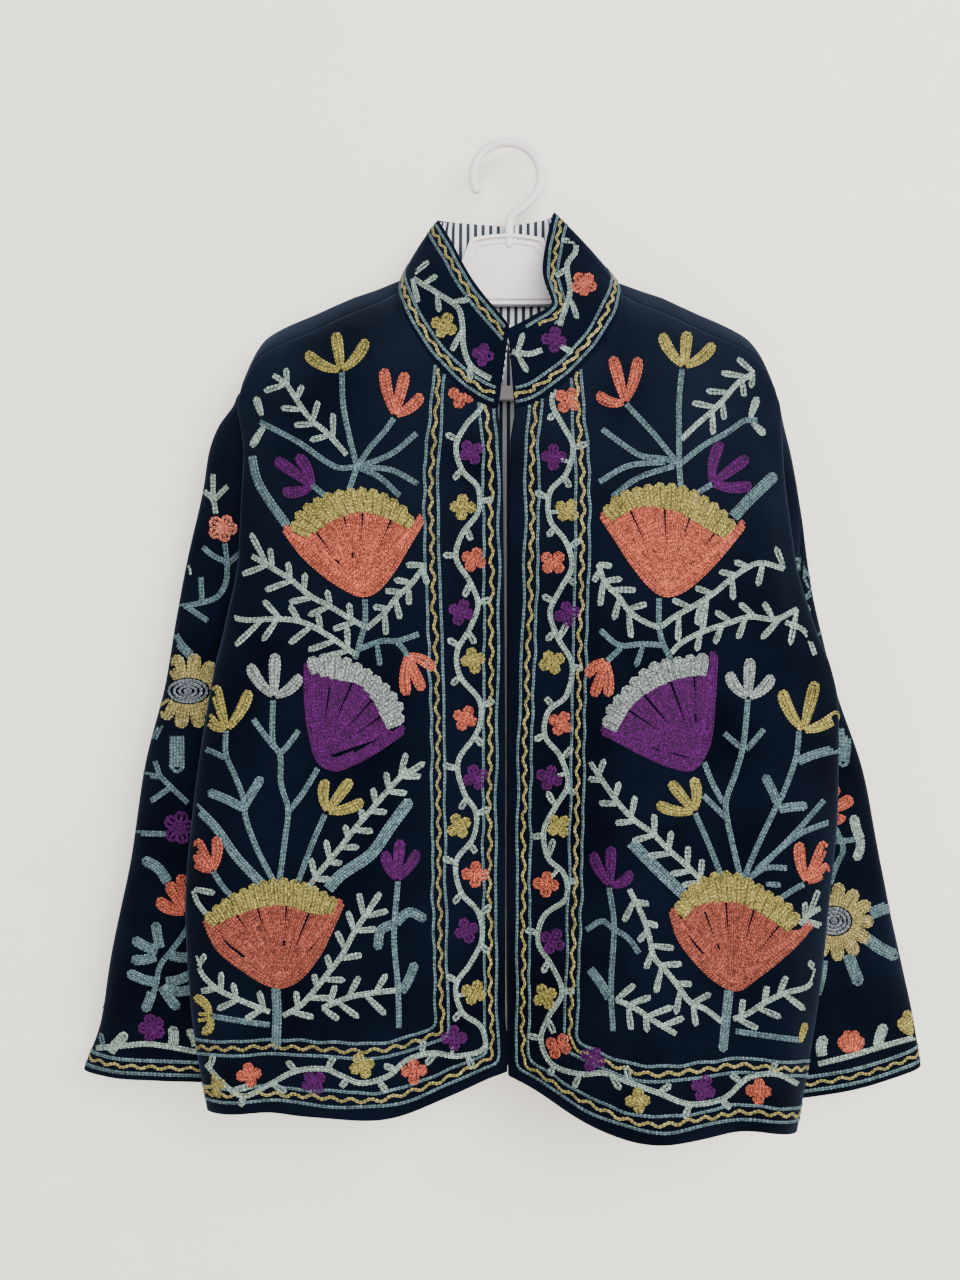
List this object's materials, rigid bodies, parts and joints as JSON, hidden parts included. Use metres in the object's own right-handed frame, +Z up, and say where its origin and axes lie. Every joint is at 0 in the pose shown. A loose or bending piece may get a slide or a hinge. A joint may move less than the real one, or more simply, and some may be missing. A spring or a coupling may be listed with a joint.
{
  "type": "embroidered velvet jacket on a hanger",
  "caption": "Hip-length open-fronted velvet jacket with a stand collar, wide sleeves and flower embroidery, hanging on a flat plastic hanger.",
  "frame": {"origin": "inner top of the hanger's crook, where the rail or hook that carries it bears", "axes": "+Z up, -Y the way the jacket's front faces, +X the wearer's left (the viewer's right); in metres"},
  "size_m": [0.6779, 0.1213, 0.7845],
  "materials": {
    "velvet": "matte",
    "striped_cotton": "matte",
    "plastic": "satin"
  },
  "bodies": {
    "root": {"front_l": "velvet", "front_r": "velvet", "back": "velvet", "back_side_l": "velvet", "back_side_r": "velvet", "back_shoulder_l": "velvet", "back_shoulder_r": "velvet", "sleeve_l": "velvet", "sleeve_r": "velvet", "collar": "velvet", "collar_lining": "striped_cotton", "back_lining": "striped_cotton", "hanger": "plastic"}
  },
  "joints": []
}
